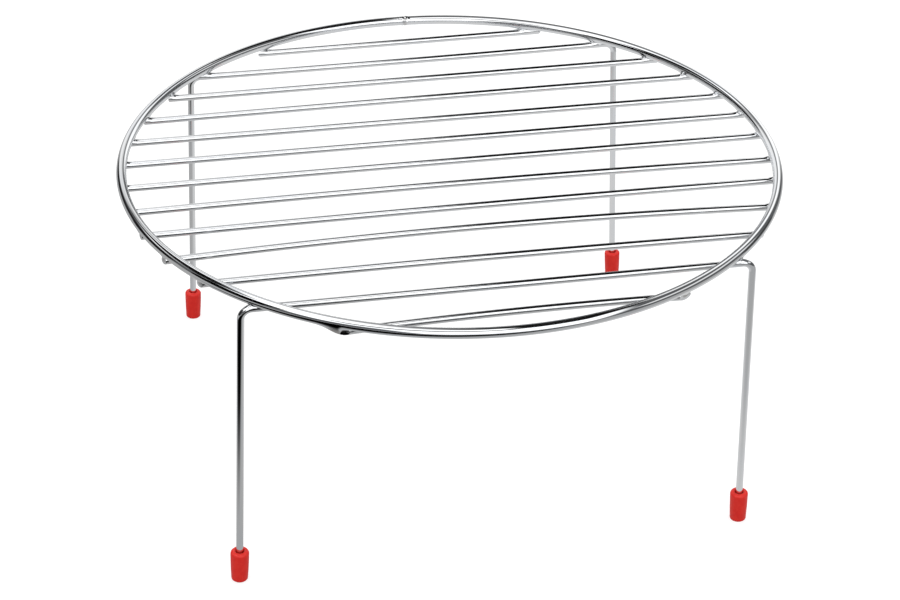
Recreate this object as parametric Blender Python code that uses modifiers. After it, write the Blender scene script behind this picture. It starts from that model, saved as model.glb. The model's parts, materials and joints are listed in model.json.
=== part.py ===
"""A round wire cooling rack on four legs.

A thick rim ring lies on thirteen parallel wires. Two of them run on past the rim, bend down and
stand as the legs, each with a soft cap pushed onto its end. The origin is on the standing plane,
under the middle of the rim. +X runs along the wires, +Y to the back and +Z up.
"""

import math

import bmesh
import bpy
from mathutils import Matrix, Vector

MM = 0.001

# Driving dimensions, in metres and radians.
RIM_OUTER_DIAMETER = 320 * MM
RIM_WIRE_DIAMETER = 4.8 * MM
BAR_WIRE_DIAMETER = 3.3 * MM
RIM_AXIS_HEIGHT = 151 * MM
BAR_COUNT = 13
BAR_PITCH = 23 * MM
BAR_END_INSET = 1.7 * MM
CROWDED_BAR = 10
CROWDED_BAR_SHIFT = 3.6 * MM
LEG_BARS = {2: "rear", 12: "front"}
LEG_CORNER_X = 114.8 * MM
LEG_SPLAY = math.radians(2.7)
BEND_RADIUS = 5.0 * MM
CAP_HEIGHT = 16.2 * MM
CAP_TOP_DIAMETER = 8.6 * MM
CAP_SOLE_DIAMETER = 7.8 * MM
CAP_WALL_UNDER_WIRE = 3.0 * MM
CAP_SHOULDER_RADIUS = 1.1 * MM
CAP_SOLE_EDGE = 0.5 * MM
CAP_COUNTERSINK = 0.8 * MM
TOUCHING_GAP = 0.3 * MM

# How finely the round shapes are divided.
RIM_SEGMENTS = 80
WIRE_SIDES = 12
BEND_STEPS = 6
SHOULDER_STEPS = 3
CAP_SEGMENTS = 24
TRIM_SEGMENTS = 180
SHARP_ANGLE = math.radians(40)
MERGE_DISTANCE = 0.01 * MM

# Worked out from the dimensions above.
RIM_WIRE_RADIUS = RIM_WIRE_DIAMETER / 2
BAR_RADIUS = BAR_WIRE_DIAMETER / 2
RIM_AXIS_RADIUS = RIM_OUTER_DIAMETER / 2 - RIM_WIRE_RADIUS
BAR_AXIS_HEIGHT = RIM_AXIS_HEIGHT - RIM_WIRE_RADIUS - TOUCHING_GAP - BAR_RADIUS
SOLE_X = LEG_CORNER_X + BAR_AXIS_HEIGHT * math.tan(LEG_SPLAY)
BAR_TRIM_RADIUS = RIM_OUTER_DIAMETER / 2 - BAR_END_INSET

CHROME = {"color": (0.83, 0.84, 0.85, 1), "metallic": 1.0, "roughness": 0.1}
SILICONE = {"color": (0.62, 0.03, 0.025, 1), "metallic": 0.0, "roughness": 0.45}


def clear_scene():
    """Start from a scene with nothing in it."""
    for thing in list(bpy.data.objects):
        bpy.data.objects.remove(thing, do_unlink=True)


def new_collection(name):
    """Make a collection in the scene."""
    collection = bpy.data.collections.new(name)
    bpy.context.scene.collection.children.link(collection)
    return collection


def make_material(name, look):
    """Make a Principled material for one sub-part."""
    material = bpy.data.materials.new(name)
    material.use_nodes = True
    shader = material.node_tree.nodes["Principled BSDF"]
    shader.inputs["Base Color"].default_value = look["color"]
    shader.inputs["Metallic"].default_value = look["metallic"]
    shader.inputs["Roughness"].default_value = look["roughness"]
    return material


def take_object(name, collection):
    """Name the object that an operator just made and put it in its collection."""
    thing = bpy.context.object
    thing.name = name
    thing.data.name = name
    for holder in list(thing.users_collection):
        holder.objects.unlink(thing)
    collection.objects.link(thing)
    return thing


def finish_part(part, look):
    """Shade a part smooth up to its sharp edges and give it its own material."""
    part.data.shade_smooth()
    part.data.set_sharp_from_angle(angle=SHARP_ANGLE)
    part.data.materials.clear()
    part.data.materials.append(make_material(part.name, look))
    return part


def make_cutter(cutter):
    """Mark an object as a cutter, which is not part of the rack."""
    cutter.hide_render = True
    cutter.display_type = "WIRE"
    return cutter


def cut(part, cutter, operation):
    """Cut a part with a Boolean modifier."""
    modifier = part.modifiers.new("cut_" + cutter.name, "BOOLEAN")
    modifier.operation = operation
    modifier.object = cutter
    modifier.solver = "EXACT"


def bar_y(number):
    """Where wire number 1 to 13 lies, counted from the back."""
    y = ((BAR_COUNT + 1) / 2 - number) * BAR_PITCH
    if number == CROWDED_BAR:
        y += CROWDED_BAR_SHIFT
    return y


def make_trim_disc(cutters):
    """The disc that the straight bars are sheared to, a little smaller than the rim."""
    thick_enough = 4 * BAR_WIRE_DIAMETER
    bpy.ops.mesh.primitive_cylinder_add(
        vertices=TRIM_SEGMENTS,
        radius=BAR_TRIM_RADIUS,
        depth=thick_enough,
        location=(0, 0, BAR_AXIS_HEIGHT),
    )
    return make_cutter(take_object("trim_disc", cutters))


def make_floor_block(cutters):
    """The block below the standing plane that cuts the cap soles level."""
    depth = CAP_HEIGHT
    wider_than_rack = 1.2 * RIM_OUTER_DIAMETER
    bpy.ops.mesh.primitive_cube_add(size=1, location=(0, 0, -depth / 2))
    block = take_object("floor_block", cutters)
    block.data.transform(Matrix.Diagonal((wider_than_rack, wider_than_rack, depth, 1)))
    return make_cutter(block)


def make_rim(parts):
    """The rim: one closed ring of the thicker wire."""
    bpy.ops.mesh.primitive_torus_add(
        major_segments=RIM_SEGMENTS,
        minor_segments=WIRE_SIDES,
        major_radius=RIM_AXIS_RADIUS,
        minor_radius=RIM_WIRE_RADIUS,
        location=(0, 0, RIM_AXIS_HEIGHT),
    )
    return finish_part(take_object("rim_ring", parts), CHROME)


def make_cross_bar(name, y, trim_disc, parts):
    """One straight bar, sheared at both ends along the rim's outline."""
    uncut_length = 1.1 * RIM_OUTER_DIAMETER
    bpy.ops.mesh.primitive_cylinder_add(
        vertices=WIRE_SIDES,
        radius=BAR_RADIUS,
        depth=uncut_length,
        location=(0, y, BAR_AXIS_HEIGHT),
        rotation=(0, math.pi / 2, 0),
    )
    bar = finish_part(take_object(name, parts), CHROME)
    cut(bar, trim_disc, "INTERSECT")
    return bar


def make_cross_bars(trim_disc, parts):
    """Every straight bar, numbered from the back."""
    numbers = [n for n in range(1, BAR_COUNT + 1) if n not in LEG_BARS]
    for place, number in enumerate(numbers, start=1):
        make_cross_bar(f"cross_bar_{place:02d}", bar_y(number), trim_disc, parts)


def leg_direction():
    """The way the right-hand legs run, from the rim down and outwards."""
    return Vector((math.sin(LEG_SPLAY), 0, -math.cos(LEG_SPLAY)))


def bend_points():
    """The right-hand bend's points, from the bar's side to the leg's, in its own plane."""
    turn = math.pi / 2 - LEG_SPLAY
    start_x = LEG_CORNER_X - BEND_RADIUS * math.tan(turn / 2)
    centre = Vector((start_x, 0, BAR_AXIS_HEIGHT - BEND_RADIUS))
    points = []
    for step in range(BEND_STEPS + 1):
        angle = turn * step / BEND_STEPS
        points.append(centre + BEND_RADIUS * Vector((math.sin(angle), 0, math.cos(angle))))
    return points


def leg_wire_points():
    """The leg wire's centre line, from the left foot over to the right one."""
    sole = Vector((SOLE_X, 0, 0))
    foot = sole - leg_direction() * CAP_WALL_UNDER_WIRE
    right = bend_points() + [foot]
    left = [Vector((-p.x, p.y, p.z)) for p in reversed(right)]
    return left + right


def make_leg_wire(name, y, parts):
    """A long wire that crosses under the rim and is bent down into two legs."""
    curve = bpy.data.curves.new(name, "CURVE")
    curve.dimensions = "3D"
    curve.bevel_depth = BAR_RADIUS
    curve.bevel_resolution = (WIRE_SIDES - 4) // 2
    curve.use_fill_caps = True
    points = leg_wire_points()
    spline = curve.splines.new("POLY")
    spline.points.add(len(points) - 1)
    for spot, point in zip(spline.points, points):
        spot.co = (point.x, point.y, point.z, 1)
    wire = bpy.data.objects.new(name, curve)
    wire.location = (0, y, 0)
    curve.materials.append(make_material(name, CHROME))
    parts.objects.link(wire)
    return wire


def cap_profile():
    """Half of the cap's section as (radius, height), from the socket floor over to the sole."""
    top = CAP_TOP_DIAMETER / 2
    sole = CAP_SOLE_DIAMETER / 2
    socket = BAR_RADIUS + TOUCHING_GAP
    socket_floor = CAP_WALL_UNDER_WIRE - TOUCHING_GAP
    below_floor = CAP_SOLE_EDGE
    profile = [
        (0, socket_floor),
        (socket, socket_floor),
        (socket, CAP_HEIGHT - CAP_COUNTERSINK),
        (socket + CAP_COUNTERSINK, CAP_HEIGHT),
    ]
    for step in range(SHOULDER_STEPS + 1):
        angle = math.pi / 2 * step / SHOULDER_STEPS
        radius = top - CAP_SHOULDER_RADIUS * (1 - math.sin(angle))
        height = CAP_HEIGHT - CAP_SHOULDER_RADIUS * (1 - math.cos(angle))
        profile.append((radius, height))
    profile += [
        (sole, CAP_SOLE_EDGE),
        (sole - CAP_SOLE_EDGE, -below_floor),
        (0, -below_floor),
    ]
    return profile


def make_cap_mesh():
    """The profile that the Screw modifier turns into a cap."""
    mesh = bpy.data.meshes.new("cap_profile")
    points = cap_profile()
    form = bmesh.new()
    spots = [form.verts.new((radius, 0, height)) for radius, height in points]
    for first, second in zip(spots, spots[1:]):
        form.edges.new((first, second))
    form.to_mesh(mesh)
    form.free()
    return mesh


def make_foot_cap(name, side, y, floor_block, parts):
    """A soft cap in line with its leg, with its sole cut level."""
    cap = bpy.data.objects.new(name, make_cap_mesh())
    cap.location = (side * SOLE_X, y, 0)
    cap.rotation_euler = (0, -side * LEG_SPLAY, 0)
    parts.objects.link(cap)
    screw = cap.modifiers.new("turn", "SCREW")
    screw.axis = "Z"
    screw.steps = CAP_SEGMENTS
    screw.render_steps = CAP_SEGMENTS
    screw.use_merge_vertices = True
    screw.merge_threshold = MERGE_DISTANCE
    screw.use_smooth_shade = True
    cap.data.materials.append(make_material(name, SILICONE))
    cut(cap, floor_block, "DIFFERENCE")
    return cap


def make_legs(floor_block, parts):
    """Both leg wires, with a cap on each of their four ends."""
    for number, end in LEG_BARS.items():
        y = bar_y(number)
        make_leg_wire(f"{end}_leg_wire", y, parts)
        make_foot_cap(f"foot_cap_{end}_left", -1, y, floor_block, parts)
        make_foot_cap(f"foot_cap_{end}_right", 1, y, floor_block, parts)


def main():
    clear_scene()
    parts = new_collection("cooling_rack")
    cutters = new_collection("cutters")
    trim_disc = make_trim_disc(cutters)
    floor_block = make_floor_block(cutters)
    make_rim(parts)
    make_cross_bars(trim_disc, parts)
    make_legs(floor_block, parts)


main()
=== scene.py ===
"""Looks of the round wire cooling rack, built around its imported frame.

Every wire is swept again as a fine round mesh with real weld fillets where it crosses the rim,
and the four foot caps are turned again with a rolled mouth, a mould line and mould grain. The
rack stands on a white floor in a small studio of cards, which only its chrome sees.
All lengths are in metres; +X runs along the wires, +Y to the back and +Z up.
"""

import json
import math

import bpy
import numpy as np
from mathutils import Matrix, Vector, noise


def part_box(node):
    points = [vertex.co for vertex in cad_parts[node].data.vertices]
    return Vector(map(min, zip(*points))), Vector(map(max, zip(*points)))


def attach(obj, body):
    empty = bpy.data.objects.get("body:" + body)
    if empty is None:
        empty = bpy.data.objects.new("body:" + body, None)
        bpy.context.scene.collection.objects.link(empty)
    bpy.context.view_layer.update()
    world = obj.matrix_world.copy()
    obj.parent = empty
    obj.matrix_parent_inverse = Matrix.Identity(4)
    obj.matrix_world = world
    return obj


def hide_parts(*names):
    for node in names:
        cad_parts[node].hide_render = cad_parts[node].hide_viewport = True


MM = 0.001

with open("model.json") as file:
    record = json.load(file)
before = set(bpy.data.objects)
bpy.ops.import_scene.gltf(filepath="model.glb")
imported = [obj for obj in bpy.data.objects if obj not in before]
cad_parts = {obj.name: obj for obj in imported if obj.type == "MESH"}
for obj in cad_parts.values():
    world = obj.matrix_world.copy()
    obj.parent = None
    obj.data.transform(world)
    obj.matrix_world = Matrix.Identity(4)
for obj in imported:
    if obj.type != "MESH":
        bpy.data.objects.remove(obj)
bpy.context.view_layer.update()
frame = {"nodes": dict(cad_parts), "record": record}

# What part.py fixes and a box can't tell.
LEG_SPLAY = math.radians(2.7)
BEND_RADIUS = 5.0 * MM
LEG_END_HEIGHT = 3.0 * MM

# How finely the pieces are divided. A wire's steps are fine within that reach of each weld.
RIM_SIDES = 48
WIRE_SIDES = 40
FINE_STEP = 0.3 * MM
COARSE_STEP = 3.0 * MM
FINE_REACH = 7.0 * MM
BEND_STEPS = 24
CAP_SIDES = 96
CAP_WALL_STEPS = 16
SHARP_ANGLE = math.radians(50)

# How each wire lies off its straight CAD line: how far back it sits, how far its middle is bowed
# back from its welds, and how far its right weld sits forward and its left one back.
BENT_WIRES = {
    "cross_bar_01": (0.9 * MM, 0.0, -1.2 * MM),
    "rear_leg_wire": (1.2 * MM, -0.9 * MM, -1.2 * MM),
    "cross_bar_02": (0.9 * MM, 0.0, -0.5 * MM),
    "cross_bar_03": (1.3 * MM, 0.6 * MM, -0.7 * MM),
    "cross_bar_04": (0.4 * MM, 0.0, 0.6 * MM),
    "cross_bar_05": (0.9 * MM, 0.0, 0.6 * MM),
    "cross_bar_06": (1.0 * MM, 0.5 * MM, 0.9 * MM),
    "cross_bar_07": (1.4 * MM, 2.4 * MM, 1.6 * MM),
    "cross_bar_08": (2.1 * MM, 1.3 * MM, 0.7 * MM),
    "cross_bar_09": (1.3 * MM, 5.6 * MM, 1.2 * MM),
    "cross_bar_10": (1.5 * MM, 1.3 * MM, 1.5 * MM),
    "front_leg_wire": (0.0, 0.0, 1.0 * MM),
    "cross_bar_11": (1.2 * MM, 2.1 * MM, -0.4 * MM),
}
# The share of a bar's bow that brings its welds forward. The rest takes its middle back.
BOW_AT_WELDS = 0.88

# How much further out than on the CAD bar the left and the right end were sheared.
END_REACH = {
    "cross_bar_01": (-3.9 * MM, 2.4 * MM),
    "cross_bar_02": (-1.1 * MM, 3.6 * MM),
    "cross_bar_03": (-0.5 * MM, 2.6 * MM),
    "cross_bar_04": (0.3 * MM, 1.9 * MM),
    "cross_bar_05": (0.2 * MM, 0.6 * MM),
    "cross_bar_06": (0.0, 0.0),
    "cross_bar_07": (-0.3 * MM, -0.1 * MM),
    "cross_bar_08": (0.4 * MM, -0.5 * MM),
    "cross_bar_09": (0.8 * MM, -0.5 * MM),
    "cross_bar_10": (-0.1 * MM, -0.3 * MM),
    "cross_bar_11": (-0.9 * MM, -0.6 * MM),
}

# How far the edge of a sheared end is rounded, and the share of that which each of the last
# stations loses in radius.
SHEARED_EDGE = 0.12 * MM
SHEARED_CUTS = (1.0, 0.4, 0.1)

# The weld between the rim and a wire under it. The CAD wires stop short of the rim by a gap. The
# tint is down to a twentieth at its reach.
WELD_GAP = 0.3 * MM
WELD_BLEND = 2.6 * MM
WELD_LIFT = 0.65 * MM
WELD_LUMP_HEIGHT = 0.10 * MM
WELD_LUMP_SIZE = 0.9 * MM
WELD_TINT_REACH = 5.0 * MM

# The butt weld that closes the rim ring, behind the rack's middle.
BUTT_ANGLE = math.radians(87.6)
BUTT_WIDTH = 1.9 * MM
BUTT_HEIGHT = 0.22 * MM
BUTT_LUMP_SIZE = 0.8 * MM
BUTT_EVEN_SHARE = 0.5
BUTT_LUMPY_SHARE = 1.4
BUTT_DULLNESS = 0.8

# The heavy weld at the front bar's left end, which hangs under the rim to the left of the bar:
# how far its deepest place lies past the crossing, and how far it reaches before and after it.
HEAVY_WELD = ("cross_bar_11", -1)
HEAVY_WELD_SHIFT = -2.0 * MM
HEAVY_WELD_BEFORE = 5.6 * MM
HEAVY_WELD_AFTER = 1.12 * MM
HEAVY_WELD_DEPTH = 3.0 * MM

# Below this share of its full height a weld has no lumps.
LEAST_LUMPY = 0.02

# The dull smudge on the front right leg: how far its middle is from the leg's end, its length,
# and how dull it is beside a weld.
SMUDGE_FROM_END = 40 * MM
SMUDGE_LENGTH = 20 * MM
SMUDGE_DULLNESS = 0.62

# Where each leg wire starts in the noise of its plating and of its welds. A bar's number does
# that for the bars.
LEG_NOISE = {"rear_leg_wire": (20, 40), "front_leg_wire": (30, 50)}

# The skin of a cap: soft unevenness, and a mould line on both sides that starts over the sole.
CAP_UNEVENNESS = 0.05 * MM
CAP_UNEVEN_SCALE = 260
CAP_NOISE_SPREAD = 400
MOULD_LINE_HEIGHT = 0.07 * MM
MOULD_LINE_START = 0.8 * MM
MOULD_LINE_COSINE = 0.9985

RIM_ROUGHNESS = 0.045
WIRE_ROUGHNESS = 0.055
CHROME_COLOR = (0.83, 0.84, 0.85, 1)
CHROME_BLUSH = (0.80, 0.82, 0.85, 1)
CHROME_BURNT = (0.52, 0.51, 0.50, 1)
SILICONE_COLOR = (0.68, 0.016, 0.010, 1)
SILICONE_BRIGHT = (0.72, 0.024, 0.014, 1)
SILICONE_DEEP = (0.55, 0.013, 0.010, 1)
DUST_COLOR = (0.85, 0.45, 0.40, 1)
WHITE = (1, 1, 1, 1)

# The camera, and how it looks at its target: azimuth 0 would be from straight in front.
CAMERA_AZIMUTH = math.radians(-12.0)
CAMERA_ELEVATION = math.radians(32.3)
CAMERA_DISTANCE = 0.8575
CAMERA_TARGET = Vector((-0.0264, -0.1292, 0.1512))
CAMERA_ROLL = math.radians(0.85)
CAMERA_LENS = 80
CAMERA_SENSOR = 36

# The cards that the chrome sees, around the rim's middle and facing it: azimuth (0 is behind the
# rack and 90 to its right), elevation, distance, width, height, soft edge and brightness.
CARDS = {
    "rear_panel": (36, 25, 1.50, 0.87, 2.30, 0.29, 1.2),
    "back_panel": (353, 16, 1.48, 1.26, 1.17, 0.36, 1.0),
    "front_window": (173, 49, 1.50, 2.27, 3.20, 0.30, 1.5),
    "left_high_flag": (305, 43, 1.42, 1.34, 0.80, 0.17, 0.003),
    "left_front_flag": (262, 18, 1.40, 0.74, 1.00, 0.04, 0.0),
    "left_flag": (296, 1, 1.36, 0.66, 0.95, 0.09, 0.007),
    "left_back_flag": (320, 12, 1.34, 0.82, 0.57, 0.14, 0.014),
    "right_flag": (80, 3, 1.32, 0.54, 0.56, 0.08, 0.055),
    "rear_high_flag": (24, 48, 1.30, 0.36, 0.62, 0.08, 0.0),
    "right_window": (100, 30, 1.50, 1.50, 0.50, 0.12, 0.90),
}

# Level cards over the rack: left, right, front and back edge, height above the rim, soft edge and
# brightness.
CEILING_CARDS = {
    "overhead_softbox": (-2.45, 0.23, -1.94, 2.02, 1.30, 0.60, 1.5),
    "overhead_flag": (0.16, 0.75, -0.73, 1.38, 1.25, 0.10, 0.007),
    "overhead_front_flag": (-1.00, 0.27, -0.92, -0.50, 1.24, 0.04, 0.0),
}

# A dark card that lies just above the table in front of the rack, turned by its azimuth.
FRONT_FLAG_PLACE = (-0.17, -0.93, 0.5 * MM)
FRONT_FLAG_AZIMUTH = math.radians(45)
FRONT_FLAG_WIDTH = 1.64
FRONT_FLAG_DEPTH = 1.16
FRONT_FLAG_FEATHER = 0.12

# The floor that the camera sees, and the table that the chrome sees, bright round the rack.
FLOOR_SIZE = 12
FLOOR_COLORS = ((0.44, 0.44, 0.44, 1), (0.46, 0.46, 0.46, 1))
FLOOR_GLOW = 0.62
TABLE_SIZE = 8
TABLE_PLACE = (0.20, 0.12, -0.5 * MM)
TABLE_BRIGHT_RADIUS = 0.22
TABLE_DIM_RADIUS = 0.40
TABLE_BRIGHT = 0.70
TABLE_DIM = 0.44

# The room: what lights the rack softly, from the horizon up, and the dim walls in the chrome.
SOFT_AT_HORIZON = 0.95
SOFT_OVERHEAD = 1.35
WALL_COLOR = (0.95, 0.97, 1, 1)
WALL_BRIGHTNESS = 0.12


# ---------------------------------------------------------------- sizes from the frame


def middle(node):
    """The centre of a CAD node's box."""
    low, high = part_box(node)
    return (low + high) / 2


def half_size(node):
    """Half the size of a CAD node's box along each axis."""
    low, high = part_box(node)
    return (high - low) / 2


RIM_HEIGHT = middle("rim_ring").z
RIM_WIRE_RADIUS = half_size("rim_ring").z
RIM_RADIUS = half_size("rim_ring").x - RIM_WIRE_RADIUS
BAR_HEIGHT = middle("cross_bar_01").z + WELD_GAP
BAR_RADIUS = half_size("cross_bar_01").z
TRIM_RADIUS = half_size("cross_bar_06").x

BAR_NODES = sorted(name for name in frame["nodes"] if name.startswith("cross_bar_"))
LEG_NODES = ["rear_leg_wire", "front_leg_wire"]
WIRE_Y = {name: middle(name).y for name in BAR_NODES + LEG_NODES}
SOLES = {m["name"]: Vector(m["pos_m"]) for m in frame["record"]["mounts"]}
SOLE_X = SOLES["front_right_sole"].x
LEG_CORNER_X = SOLE_X - BAR_HEIGHT * math.tan(LEG_SPLAY)
CAP_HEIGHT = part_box("foot_cap_front_right")[1].z


def crossing_x(y):
    """How far out a wire at this y meets the rim's centre line."""
    return math.sqrt(RIM_RADIUS**2 - y**2)


def bent_y(node, x):
    """Where a wire's centre line lies at x, near its straight CAD line."""
    shift, bow, skew = BENT_WIRES[node]
    place = x / crossing_x(WIRE_Y[node])
    bow_at_welds = BOW_AT_WELDS
    if node in LEG_NODES:
        place = np.clip(place, -1, 1)
        bow_at_welds = 0
    return WIRE_Y[node] + shift + bow * (1 - bow_at_welds - place**2) - skew * place


def leg_wire_y(node, point):
    """Where a leg wire lies at a point: on its bent line at the top, on its CAD foot below."""
    y = WIRE_Y[node]
    return y + (float(bent_y(node, point.x)) - y) * point.z / BAR_HEIGHT


def sheared_end(node, side, y):
    """How far out the shears cut a bar at this y, on the left (side below 0) or on the right."""
    left, right = END_REACH[node]
    outline = np.sqrt(TRIM_RADIUS**2 - np.asarray(y) ** 2)
    return outline + np.where(np.asarray(side) < 0, left, right)


def weld_place(node, side):
    """Where a wire is welded under the rim, on the left (side -1) or on the right (side 1)."""
    y = float(bent_y(node, side * crossing_x(WIRE_Y[node])))
    return side * crossing_x(y), y


def weld_angle(node, side):
    """The angle round the rim of a wire's weld, from 0 to a full turn."""
    x, y = weld_place(node, side)
    return math.atan2(y, x) % (2 * math.pi)


# ---------------------------------------------------------------- sweeping wires


def steps_with_detail(start, end, spots):
    """Distances from start to end, close together near the spots and far apart elsewhere."""
    places = [start]
    while places[-1] < end:
        near = any(abs(places[-1] - spot) < FINE_REACH for spot in spots)
        places.append(places[-1] + (FINE_STEP if near else COARSE_STEP))
    places = np.array(places)
    return start + (places - start) * (end - start) / (places[-1] - start)


def unit_tangents(path, *spacing):
    """The way a path runs at each of its points."""
    tangents = np.gradient(path, *spacing, axis=0)
    return tangents / np.linalg.norm(tangents, axis=1)[:, None]


class Sweep:
    """A round wire swept along a path: its skin's points, outward directions and faces.

    square is the direction square to the plane that the path lies in or near. wire_space holds
    each point's distance along the wire and its place across it, and weld how much of a weld it
    is, from 0 to 1, both for the material.
    """

    def __init__(self, path, tangents, square, radius, sides, along, closed=False):
        self.closed = closed
        self.stations = len(path)
        self.sides = sides
        square = np.array(square, float)
        side_way = np.cross(square, tangents)
        angle = np.linspace(0, 2 * math.pi, sides, endpoint=False)
        radius = np.broadcast_to(radius, self.stations)[:, None]
        self.out = (
            np.cos(angle)[None, :, None] * side_way[:, None, :]
            + np.sin(angle)[None, :, None] * square
        )
        self.points = path[:, None, :] + radius[..., None] * self.out
        along = np.broadcast_to(along[:, None], (self.stations, sides))
        self.wire_space = np.stack(
            [along, radius * np.cos(angle), radius * np.sin(angle)], axis=-1
        )
        self.weld = np.zeros((self.stations, sides))

    def raise_weld(self, gap, seed):
        """Lift the skin in a lumpy fillet towards another wire, whose surface is gap away."""
        closeness = np.clip(1 - gap / WELD_BLEND, 0, 1)
        lift = WELD_LIFT * closeness**2
        for i, j in np.argwhere(closeness > LEAST_LUMPY):
            spot = Vector(self.points[i, j]) / WELD_LUMP_SIZE + Vector((seed, 0, 0))
            lift[i, j] += WELD_LUMP_HEIGHT * closeness[i, j] * noise.noise(spot)
        self.points += lift[..., None] * self.out
        tint = np.exp(-3 * np.maximum(gap, 0) / WELD_TINT_REACH)
        self.weld = np.maximum(self.weld, tint)

    def sag_weld(self, place, before, after, depth):
        """Let weld metal hang under the wire, reaching that far before and after a place."""
        along = self.wire_space[..., 0] - place
        share = np.exp(-((along / np.where(along < 0, before, after)) ** 2))
        share = share * np.clip(-self.out[..., 2], 0, 1)
        self.points[..., 2] -= depth * share
        self.weld = np.maximum(self.weld, np.minimum(2 * share, 1))

    def raise_bead(self, place, width, height):
        """Raise an uneven bead round the wire, such as a butt weld's flash."""
        along = self.wire_space[..., 0] - place
        rise = height * np.exp(-((along / width) ** 2))
        for i, j in np.argwhere(rise > height * LEAST_LUMPY):
            spot = Vector(self.points[i, j]) / BUTT_LUMP_SIZE
            rise[i, j] *= BUTT_EVEN_SHARE + BUTT_LUMPY_SHARE * noise.noise(spot)
        self.points += rise[..., None] * self.out
        tint = BUTT_DULLNESS * np.exp(-((along / width / 1.5) ** 2))
        self.weld = np.maximum(self.weld, tint)

    def dull(self, place, length):
        """Leave a dull smudge on the wire, centred on that distance from its start."""
        along = self.wire_space[..., 0] - self.wire_space[0, 0, 0] - place
        smudge = SMUDGE_DULLNESS * np.exp(-((2 * along / length) ** 4))
        self.weld = np.maximum(self.weld, smudge)

    def faces(self):
        """Quads round the wire, and a fan on each end of an open one."""
        count, sides = self.stations, self.sides
        faces = []
        for i in range(count if self.closed else count - 1):
            here, there = i * sides, (i + 1) % count * sides
            for j in range(sides):
                k = (j + 1) % sides
                faces.append((here + j, here + k, there + k, there + j))
        if not self.closed:
            first, last = count * sides, count * sides + 1
            end = (count - 1) * sides
            for j in range(sides):
                k = (j + 1) % sides
                faces.append((k, j, first))
                faces.append((end + j, end + k, last))
        return faces

    def with_ends(self, values):
        """Values of the skin's points as rows, followed by each end's mean on an open wire."""
        rows = values.reshape(-1, 3)
        if self.closed:
            return rows
        return np.vstack([rows, values[0].mean(0), values[-1].mean(0)])

    def make(self, name, material):
        """The swept wire as an object, with its wire_space and weld kept for the material."""
        weld = self.weld.reshape(-1)
        if not self.closed:
            weld = np.append(weld, [1, 1])
        mesh = bpy.data.meshes.new(name)
        mesh.from_pydata(self.with_ends(self.points).tolist(), [], self.faces())
        mesh.attributes.new("wire_space", "FLOAT_VECTOR", "POINT").data.foreach_set(
            "vector", self.with_ends(self.wire_space).astype(np.float32).ravel()
        )
        mesh.attributes.new("weld", "FLOAT", "POINT").data.foreach_set(
            "value", weld.astype(np.float32)
        )
        mesh.shade_smooth()
        mesh.set_sharp_from_angle(angle=SHARP_ANGLE)
        return new_piece(name, mesh, material)


def gap_to_rim(points):
    """How far points are from the rim's surface."""
    from_axis = np.hypot(points[..., 0], points[..., 1])
    return np.hypot(from_axis - RIM_RADIUS, points[..., 2] - RIM_HEIGHT) - RIM_WIRE_RADIUS


def gap_to_wire(points, node):
    """How far points are from the surface of a wire, up to where it bends down or is sheared."""
    y = bent_y(node, points[..., 0])
    if node in LEG_NODES:
        end_x = LEG_CORNER_X - BEND_RADIUS
    else:
        end_x = sheared_end(node, points[..., 0], y)
    beyond = np.maximum(np.abs(points[..., 0]) - end_x, 0)
    across = np.hypot(points[..., 1] - y, points[..., 2] - BAR_HEIGHT)
    return np.hypot(np.maximum(across - BAR_RADIUS, 0), beyond)


def sheared_radius(count):
    """A bar's radius at each station, less over the last stations at both ends."""
    radius = np.full(count, BAR_RADIUS)
    for back, share in enumerate(SHEARED_CUTS):
        radius[back] -= SHEARED_EDGE * share
        radius[-1 - back] -= SHEARED_EDGE * share
    return radius


# ---------------------------------------------------------------- pieces


def new_piece(name, mesh, material):
    """An object for a mesh in one material."""
    mesh.materials.append(material)
    piece = bpy.data.objects.new(name, mesh)
    bpy.context.scene.collection.objects.link(piece)
    return piece


def finish_piece(piece, node):
    """Make a piece ride on the rack in place of its CAD node."""
    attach(piece, "root")
    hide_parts(node)


def make_rim(material):
    """The rim ring, divided finely where the wires are welded under it."""
    angles = [BUTT_ANGLE] + [weld_angle(node, side) for node in WIRE_Y for side in (-1, 1)]
    spots = [RIM_RADIUS * angle for angle in angles]
    along = steps_with_detail(0.0, 2 * math.pi * RIM_RADIUS, spots)[:-1]
    angle = along / RIM_RADIUS
    level = np.zeros_like(angle)
    path = np.stack(
        [RIM_RADIUS * np.cos(angle), RIM_RADIUS * np.sin(angle), level + RIM_HEIGHT], axis=-1
    )
    tangents = np.stack([-np.sin(angle), np.cos(angle), level], axis=-1)
    ring = Sweep(path, tangents, (0, 0, 1), RIM_WIRE_RADIUS, RIM_SIDES, along, closed=True)
    gaps = [gap_to_wire(ring.points, node) for node in WIRE_Y]
    ring.raise_weld(np.min(gaps, axis=0), seed=0)
    heavy_place = RIM_RADIUS * weld_angle(*HEAVY_WELD) + HEAVY_WELD_SHIFT
    ring.sag_weld(heavy_place, HEAVY_WELD_BEFORE, HEAVY_WELD_AFTER, HEAVY_WELD_DEPTH)
    ring.raise_bead(RIM_RADIUS * BUTT_ANGLE, BUTT_WIDTH, BUTT_HEIGHT)
    finish_piece(ring.make("rim_wire", material), "rim_ring")


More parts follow.
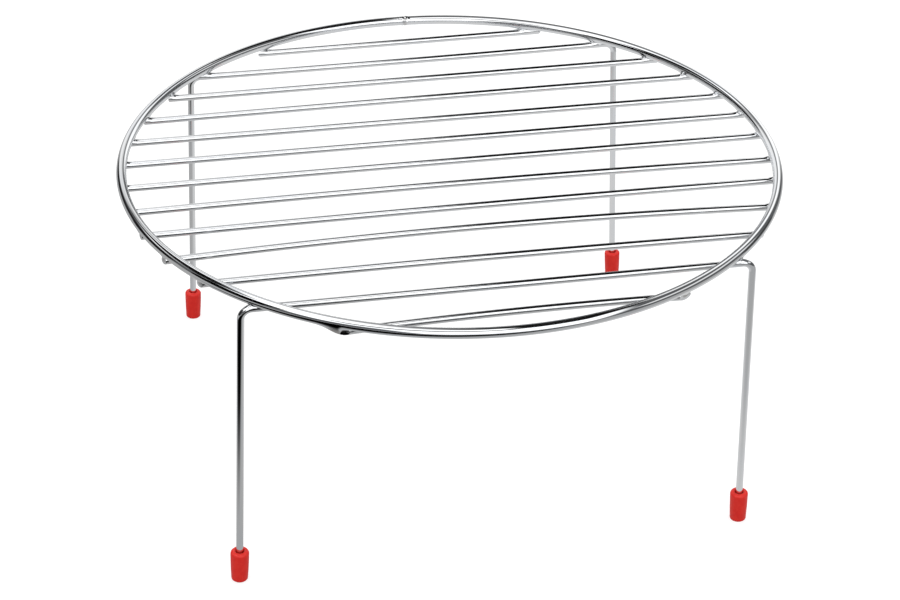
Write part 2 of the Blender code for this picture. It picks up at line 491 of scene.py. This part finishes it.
def make_bar(node, material):
    """One straight wire, sheared at both ends along the rim's outline and welded under the rim."""
    number = int(node[-2:])
    (left_x, left_y), (right_x, right_y) = (weld_place(node, side) for side in (-1, 1))
    left_end = -float(sheared_end(node, -1, left_y))
    right_end = float(sheared_end(node, 1, right_y))
    places = steps_with_detail(left_end, right_end, (left_x, right_x))
    left_edge = [left_end, left_end + SHEARED_EDGE / 4, left_end + SHEARED_EDGE]
    right_edge = [right_end - SHEARED_EDGE, right_end - SHEARED_EDGE / 4, right_end]
    places = np.concatenate([left_edge, places[1:-1], right_edge])
    path = np.stack([places, bent_y(node, places), np.full_like(places, BAR_HEIGHT)], axis=-1)
    tangents = unit_tangents(path, places)
    radius = sheared_radius(len(places))
    bar = Sweep(path, tangents, (0, 0, 1), radius, WIRE_SIDES, places + number)
    for end in (left_end, right_end):
        # The last quarter of the way to the end is stretched until the end follows the shears.
        near_end = np.clip(4 * bar.points[..., 0] / end - 3, 0, 1)
        shear = sheared_end(node, end, bar.points[..., 1]) / abs(end)
        bar.points[..., 0] *= 1 + (shear - 1) * near_end
    bar.raise_weld(gap_to_rim(bar.points), seed=number)
    finish_piece(bar.make(f"bar_wire_{number:02d}", material), node)


def leg_wire_points():
    """Half of a leg wire's centre line at y 0, from the middle of the rack to the right foot."""
    turn = math.pi / 2 - LEG_SPLAY
    bend_x = LEG_CORNER_X - BEND_RADIUS * math.tan(turn / 2)
    weld_x = crossing_x(WIRE_Y["front_leg_wire"])
    straight = steps_with_detail(0.0, bend_x, (weld_x,))
    points = [Vector((x, 0, BAR_HEIGHT)) for x in straight]
    centre = Vector((bend_x, 0, BAR_HEIGHT - BEND_RADIUS))
    for step in range(1, BEND_STEPS + 1):
        angle = turn * step / BEND_STEPS
        points.append(centre + BEND_RADIUS * Vector((math.sin(angle), 0, math.cos(angle))))
    corner = points[-1].copy()
    down = Vector((math.sin(LEG_SPLAY), 0, -math.cos(LEG_SPLAY)))
    length = (corner.z - LEG_END_HEIGHT) / math.cos(LEG_SPLAY)
    count = int(length / COARSE_STEP)
    points += [corner + down * (length * step / count) for step in range(1, count + 1)]
    return points


def make_leg_wire(node, material):
    """A wire that is welded under the rim and bent down into two legs."""
    right_half = leg_wire_points()
    left_half = [Vector((-p.x, 0, p.z)) for p in reversed(right_half[1:])]
    path = np.array([(p.x, leg_wire_y(node, p), p.z) for p in left_half + right_half])
    tangents = unit_tangents(path)
    steps = np.linalg.norm(np.diff(path, axis=0), axis=1)
    along = np.concatenate([[0], np.cumsum(steps)])
    start, seed = LEG_NOISE[node]
    wire = Sweep(path, tangents, (0, -1, 0), BAR_RADIUS, WIRE_SIDES, along + start)
    wire.raise_weld(gap_to_rim(wire.points), seed)
    if node == "front_leg_wire":
        wire.dull(along[-1] - SMUDGE_FROM_END, SMUDGE_LENGTH)
    name = node.replace("_leg_wire", "_legs")
    finish_piece(wire.make(name, material), node)


def arc(centre, radius, start, end, steps):
    """Points along an arc in the profile plane, angles in degrees."""
    angles = [math.radians(start + (end - start) * i / steps) for i in range(steps + 1)]
    return [(centre[0] + radius * math.cos(a), centre[1] + radius * math.sin(a)) for a in angles]


def cap_profile():
    """The cap's section as (radius, height), from inside its mouth down to the sole's middle."""
    top = 4.3 * MM
    sole = 3.9 * MM
    hug = BAR_RADIUS + 0.02 * MM
    lip = 0.45 * MM
    lip_out = hug + 0.35 * MM + lip
    shoulder = 1.25 * MM
    height = CAP_HEIGHT - 0.2 * MM
    crown_height = height - 0.15 * MM
    sole_edge = 0.6 * MM
    bulge = 0.06 * MM
    below_floor = 0.3 * MM

    profile = [
        (hug, height - 4 * MM),
        (hug, height - 1.3 * MM),
        (hug + 0.15 * MM, height - 0.8 * MM),
    ]
    profile += arc((lip_out, height - lip), lip, 180, 75, 8)
    profile += arc((top - shoulder, crown_height - shoulder), shoulder, 75, 0, 14)
    wall_top, wall_end = height - 2.2 * MM, sole_edge * 2
    for step in range(CAP_WALL_STEPS + 1):
        down = step / CAP_WALL_STEPS
        radius = top + (sole - top) * down + bulge * math.sin(math.pi * down)
        profile.append((radius, wall_top + (wall_end - wall_top) * down))
    profile += arc((sole - sole_edge, sole_edge), sole_edge, 0, -90, 8)
    profile += [(sole / 2, -below_floor), (0.0, -below_floor)]
    return profile


def cap_relief(spot, radius, angle, seed):
    """How far a cap's skin stands out at a spot: soft unevenness and the mould line."""
    if radius <= 1.2 * BAR_RADIUS:
        # The mouth hugs the leg there, or this is the middle of the sole.
        return 0.0
    relief = CAP_UNEVENNESS * noise.noise(spot * CAP_UNEVEN_SCALE + seed)
    if spot.z > MOULD_LINE_START and radius > 1.5 * BAR_RADIUS:
        beyond = abs(math.cos(angle)) - MOULD_LINE_COSINE
        relief += MOULD_LINE_HEIGHT * max(beyond, 0) / (1 - MOULD_LINE_COSINE)
    return relief


def make_cap(node, material):
    """A soft cap pushed onto a leg, leaning with it, and standing level on its sole."""
    end, side_name = node.split("_")[2:]
    sole = SOLES[f"{end}_{side_name}_sole"]
    side = 1 if sole.x > 0 else -1
    turn_to_leg = Matrix.Rotation(-side * LEG_SPLAY, 3, "Y")
    seed = Vector((sole.x, sole.y, 0)) * CAP_NOISE_SPREAD
    profile = cap_profile()
    points = []
    for radius, height in profile:
        for j in range(CAP_SIDES):
            angle = 2 * math.pi * j / CAP_SIDES
            way = Vector((math.cos(angle), math.sin(angle), 0))
            spot = way * radius + Vector((0, 0, height))
            placed = turn_to_leg @ (spot + way * cap_relief(spot, radius, angle, seed))
            points.append((placed.x + sole.x, placed.y + sole.y, max(placed.z, 0.0)))
    faces = []
    for i in range(len(profile) - 1):
        here, there = i * CAP_SIDES, (i + 1) * CAP_SIDES
        for j in range(CAP_SIDES):
            k = (j + 1) % CAP_SIDES
            faces.append((here + j, there + j, there + k, here + k))
    mesh = bpy.data.meshes.new(node)
    mesh.from_pydata(points, [], faces)
    mesh.shade_smooth()
    cap = new_piece(node.replace("foot_cap", "cap"), mesh, material)
    finish_piece(cap, node)


# ---------------------------------------------------------------- materials


class Shader:
    """A node tree, built by short calls."""

    def __init__(self, tree):
        self.tree = tree

    def feed(self, socket, value):
        """Give a socket a value, or link another socket to it."""
        if isinstance(value, bpy.types.NodeSocket):
            self.tree.links.new(value, socket)
        else:
            socket.default_value = value

    def node(self, kind, settings=None, **inputs):
        """A new node with its settings and its inputs: i0, i1 and so on, or names with a _."""
        node = self.tree.nodes.new(kind)
        for name, value in (settings or {}).items():
            setattr(node, name, value)
        for name, value in inputs.items():
            numbered = name[0] == "i" and name[1:].isdigit()
            key = int(name[1:]) if numbered else name.replace("_", " ")
            self.feed(node.inputs[key], value)
        return node

    def math(self, operation, first, second=0.0):
        """One arithmetic step."""
        settings = {"operation": operation}
        return self.node("ShaderNodeMath", settings, i0=first, i1=second).outputs[0]

    def scaled(self, vector, scale):
        """A vector with each axis scaled."""
        settings = {"operation": "MULTIPLY"}
        return self.node("ShaderNodeVectorMath", settings, i0=vector, i1=scale).outputs[0]

    def noise(self, vector, scale=1.0, detail=2.0, roughness=0.5):
        """Smooth noise from 0 to 1."""
        return self.node(
            "ShaderNodeTexNoise", Vector=vector, Scale=scale, Detail=detail, Roughness=roughness
        ).outputs[0]

    def ramp(self, value, low, high, out_low=0.0, out_high=1.0):
        """A value mapped from one range to another and held at its ends."""
        node = self.node(
            "ShaderNodeMapRange",
            {"interpolation_type": "SMOOTHSTEP"},
            Value=value,
            From_Min=low,
            From_Max=high,
            To_Min=out_low,
            To_Max=out_high,
        )
        return node.outputs[0]

    def mix(self, factor, first, second):
        """Two colours mixed. A Mix node's colours are its inputs 6 and 7."""
        settings = {"data_type": "RGBA"}
        return self.node("ShaderNodeMix", settings, i0=factor, i6=first, i7=second).outputs[2]

    def bump(self, height, distance, normal=None):
        """A bump of that many metres for a height from 0 to 1."""
        inputs = {"Height": height, "Distance": distance, "Strength": 1.0}
        if normal is not None:
            inputs["Normal"] = normal
        return self.node("ShaderNodeBump", **inputs).outputs[0]


def new_material(name):
    """A new material, its node tree and its Principled shader."""
    material = bpy.data.materials.new(name)
    material.use_nodes = True
    return material, Shader(material.node_tree), material.node_tree.nodes["Principled BSDF"]


def new_glow(name):
    """A new material with nothing in its node tree, for what only shines."""
    material = bpy.data.materials.new(name)
    material.use_nodes = True
    material.node_tree.nodes.clear()
    return material, Shader(material.node_tree)


def chrome_material(name, roughness):
    """Bright plated wire: drawing lines along it, faint plating blush, and dull, tinted welds."""
    material, shader, surface = new_material(name)
    wire = shader.node("ShaderNodeAttribute", {"attribute_name": "wire_space"}).outputs["Vector"]
    weld = shader.node("ShaderNodeAttribute", {"attribute_name": "weld"}).outputs["Fac"]

    lines = shader.noise(shader.scaled(wire, (45, 4200, 4200)), detail=3)
    waves = shader.noise(shader.scaled(wire, (55, 420, 420)), detail=1)
    blush = shader.noise(shader.scaled(wire, (30, 160, 160)), detail=3)
    grain = shader.noise(wire, scale=2600, detail=3, roughness=0.7)

    hot = shader.ramp(shader.math("ADD", weld, shader.math("MULTIPLY", grain, 0.35)), 0.75, 1.15)
    tint = shader.mix(shader.ramp(blush, 0.35, 0.75), CHROME_COLOR, CHROME_BLUSH)
    shader.feed(surface.inputs["Base Color"], shader.mix(hot, tint, CHROME_BURNT))
    surface.inputs["Metallic"].default_value = 1.0

    scratches = shader.ramp(lines, 0.58, 0.75, 0.0, 0.07)
    haze = shader.ramp(blush, 0.45, 0.8, 0.0, 0.05)
    rough = shader.math("ADD", shader.math("ADD", scratches, haze), roughness)
    rough = shader.math("ADD", rough, shader.math("MULTIPLY", hot, 0.22))
    shader.feed(surface.inputs["Roughness"], rough)

    normal = shader.bump(waves, 0.018 * MM)
    normal = shader.bump(lines, 0.0016 * MM, normal)
    normal = shader.bump(shader.math("MULTIPLY", grain, hot), 0.03 * MM, normal)
    shader.feed(surface.inputs["Normal"], normal)
    return material


def silicone_material():
    """Satin red silicone: soft light inside it, fine mould grain, and a little dust."""
    material, shader, surface = new_material("red_silicone_cap")
    place = shader.node("ShaderNodeTexCoord").outputs["Object"]
    cloud = shader.noise(place, scale=350, detail=3)
    grain = shader.noise(place, scale=5200, detail=3, roughness=0.65)
    streaks = shader.noise(shader.scaled(place, (1400, 1400, 60)), detail=2)
    dust = shader.noise(place, scale=2100, detail=2)

    color = shader.mix(shader.ramp(cloud, 0.35, 0.7), SILICONE_COLOR, SILICONE_BRIGHT)
    color = shader.mix(shader.ramp(streaks, 0.55, 0.8, 0.0, 0.4), color, SILICONE_DEEP)
    color = shader.mix(shader.ramp(dust, 0.74, 0.80, 0.0, 0.5), color, DUST_COLOR)
    shader.feed(surface.inputs["Base Color"], color)
    shader.feed(surface.inputs["Roughness"], shader.ramp(grain, 0.3, 0.7, 0.36, 0.48))
    surface.inputs["Specular IOR Level"].default_value = 0.25
    surface.inputs["Subsurface Weight"].default_value = 0.15
    surface.inputs["Subsurface Radius"].default_value = (1.0, 0.25, 0.15)
    surface.inputs["Subsurface Scale"].default_value = 1.2 * MM
    normal = shader.bump(grain, 0.012 * MM)
    normal = shader.bump(streaks, 0.02 * MM, normal)
    shader.feed(surface.inputs["Normal"], normal)
    return material


def card_material(name, width, height, feather, brightness):
    """A glowing material that fades out towards the card's edges."""
    material, shader = new_glow(name)
    place = shader.node("ShaderNodeTexCoord").outputs["Object"]
    parts = shader.node("ShaderNodeSeparateXYZ", Vector=place)
    covers = []
    for axis, size in ((0, width), (1, height)):
        away = shader.math("ABSOLUTE", parts.outputs[axis])
        covers.append(shader.ramp(away, size / 2 - feather, size / 2, 1.0, 0.0))
    cover = shader.math("MULTIPLY", covers[0], covers[1])
    glow = shader.node("ShaderNodeEmission", Color=WHITE, Strength=brightness).outputs[0]
    clear = shader.node("ShaderNodeBsdfTransparent").outputs[0]
    mixed = shader.node("ShaderNodeMixShader", i0=cover, i1=clear, i2=glow).outputs[0]
    shader.node("ShaderNodeOutputMaterial", Surface=mixed)
    return material


def floor_material():
    """A white floor, which shines a little for the camera only."""
    material, shader, surface = new_material("white_floor")
    place = shader.node("ShaderNodeTexCoord").outputs["Object"]
    tone = shader.noise(place, scale=3, detail=2)
    shader.feed(surface.inputs["Base Color"], shader.mix(tone, *FLOOR_COLORS))
    surface.inputs["Roughness"].default_value = 0.9
    surface.inputs["Specular IOR Level"].default_value = 0.1
    camera_ray = shader.node("ShaderNodeLightPath").outputs["Is Camera Ray"]
    surface.inputs["Emission Color"].default_value = WHITE
    glow = shader.math("MULTIPLY", camera_ray, FLOOR_GLOW)
    shader.feed(surface.inputs["Emission Strength"], glow)
    return material


def table_material():
    """A glow that is bright round the middle of the table and dimmer further out."""
    material, shader = new_glow("table")
    place = shader.node("ShaderNodeTexCoord").outputs["Object"]
    away = shader.node("ShaderNodeVectorMath", {"operation": "LENGTH"}, i0=place).outputs["Value"]
    strength = shader.ramp(away, TABLE_BRIGHT_RADIUS, TABLE_DIM_RADIUS, TABLE_BRIGHT, TABLE_DIM)
    glow = shader.node("ShaderNodeEmission", Color=WHITE, Strength=strength).outputs[0]
    shader.node("ShaderNodeOutputMaterial", Surface=glow)
    return material


# ---------------------------------------------------------------- camera and studio


def make_camera():
    """The camera, to the left of the rack's front and above it."""
    across = math.cos(CAMERA_ELEVATION)
    back = Vector(
        (
            math.sin(CAMERA_AZIMUTH) * across,
            -math.cos(CAMERA_AZIMUTH) * across,
            math.sin(CAMERA_ELEVATION),
        )
    )
    camera = bpy.data.objects.new("camera", bpy.data.cameras.new("camera"))
    camera.data.lens = CAMERA_LENS
    camera.data.sensor_width = CAMERA_SENSOR
    camera.data.clip_start = 10 * MM
    turn = (-back).to_track_quat("-Z", "Y").to_matrix().to_4x4()
    roll = Matrix.Rotation(CAMERA_ROLL, 4, "Z")
    camera.matrix_world = Matrix.Translation(CAMERA_TARGET + back * CAMERA_DISTANCE) @ turn @ roll
    bpy.context.scene.collection.objects.link(camera)
    bpy.context.scene.camera = camera


def studio_plane(name, matrix, width, height):
    """A flat stage object, width by height, in the matrix's XY plane."""
    mesh = bpy.data.meshes.new(name)
    corners = [(-width / 2, -height / 2, 0), (width / 2, -height / 2, 0)]
    corners += [(width / 2, height / 2, 0), (-width / 2, height / 2, 0)]
    mesh.from_pydata(corners, [], [(0, 1, 2, 3)])
    plane = bpy.data.objects.new(name, mesh)
    plane.matrix_world = matrix
    bpy.context.scene.collection.objects.link(plane)
    return plane


def seen_only_by_gloss(thing):
    """Keep a stage object out of everything but reflections."""
    thing.visible_camera = False
    thing.visible_diffuse = False
    thing.visible_transmission = False
    thing.visible_volume_scatter = False
    thing.visible_shadow = False


def hang_card(name, matrix, width, height, feather, brightness):
    """A studio card with soft edges, which only the chrome sees."""
    card = studio_plane(name, matrix, width, height)
    seen_only_by_gloss(card)
    card.data.materials.append(card_material(name, width, height, feather, brightness))


def make_card(name, azimuth, elevation, distance, *card):
    """A card that faces the rim's middle."""
    a, e = math.radians(azimuth), math.radians(elevation)
    way = Vector((math.sin(a) * math.cos(e), math.cos(a) * math.cos(e), math.sin(e)))
    centre = Vector((0, 0, RIM_HEIGHT)) + way * distance
    right = Vector((math.cos(a), -math.sin(a), 0))
    turn = Matrix((right, way.cross(right), -way)).transposed().to_4x4()
    hang_card(name, Matrix.Translation(centre) @ turn, *card)


def make_ceiling_card(name, left, right, front, back, height, feather, brightness):
    """A level card over the rack, that far above the rim."""
    centre = Vector(((left + right) / 2, (front + back) / 2, RIM_HEIGHT + height))
    place = Matrix.Translation(centre)
    hang_card(name, place, right - left, back - front, feather, brightness)


def make_front_flag():
    """The dark card on the table in front of the rack."""
    place = Matrix.Translation(FRONT_FLAG_PLACE) @ Matrix.Rotation(-FRONT_FLAG_AZIMUTH, 4, "Z")
    hang_card("front_flag", place, FRONT_FLAG_WIDTH, FRONT_FLAG_DEPTH, FRONT_FLAG_FEATHER, 0.0)


def make_floor():
    """The floor that the camera sees, and the smaller table that the chrome sees."""
    floor = studio_plane("floor", Matrix.Identity(4), FLOOR_SIZE, FLOOR_SIZE)
    floor.data.materials.append(floor_material())
    floor.visible_glossy = False

    table = studio_plane("table", Matrix.Translation(TABLE_PLACE), TABLE_SIZE, TABLE_SIZE)
    table.data.materials.append(table_material())
    seen_only_by_gloss(table)


def make_world():
    """White for the camera and for soft light; a dim room for the chrome."""
    world = bpy.data.worlds.new("studio")
    bpy.context.scene.world = world
    world.use_nodes = True
    world.node_tree.nodes.clear()
    shader = Shader(world.node_tree)
    path = shader.node("ShaderNodeLightPath")
    way = shader.node("ShaderNodeTexCoord").outputs["Generated"]
    up = shader.node("ShaderNodeSeparateXYZ", Vector=way).outputs["Z"]
    soft = shader.ramp(up, 0.0, 1.0, SOFT_AT_HORIZON, SOFT_OVERHEAD)
    strength = shader.math("ADD", soft, path.outputs["Is Camera Ray"])
    white = shader.node("ShaderNodeBackground", Color=WHITE, Strength=strength).outputs[0]
    wall = shader.node("ShaderNodeBackground", Color=WALL_COLOR, Strength=WALL_BRIGHTNESS)
    gloss = path.outputs["Is Glossy Ray"]
    mixed = shader.node("ShaderNodeMixShader", i0=gloss, i1=white, i2=wall.outputs[0]).outputs[0]
    shader.node("ShaderNodeOutputWorld", Surface=mixed)


def make_studio():
    """Everything round the rack: floor, world and cards."""
    make_floor()
    make_world()
    for name, card in CARDS.items():
        make_card(name, *card)
    for name, card in CEILING_CARDS.items():
        make_ceiling_card(name, *card)
    make_front_flag()
    bpy.context.scene.view_settings.view_transform = "Standard"


# ---------------------------------------------------------------- the whole scene


def main():
    """Build the camera, every piece of the rack, and the studio."""
    make_camera()
    rim_chrome = chrome_material("rim_chrome_plate", RIM_ROUGHNESS)
    wire_chrome = chrome_material("wire_chrome_plate", WIRE_ROUGHNESS)
    make_rim(rim_chrome)
    for node in BAR_NODES:
        make_bar(node, wire_chrome)
    for node in LEG_NODES:
        make_leg_wire(node, wire_chrome)
    silicone = silicone_material()
    for name in frame["nodes"]:
        if name.startswith("foot_cap_"):
            make_cap(name, silicone)
    make_studio()


main()
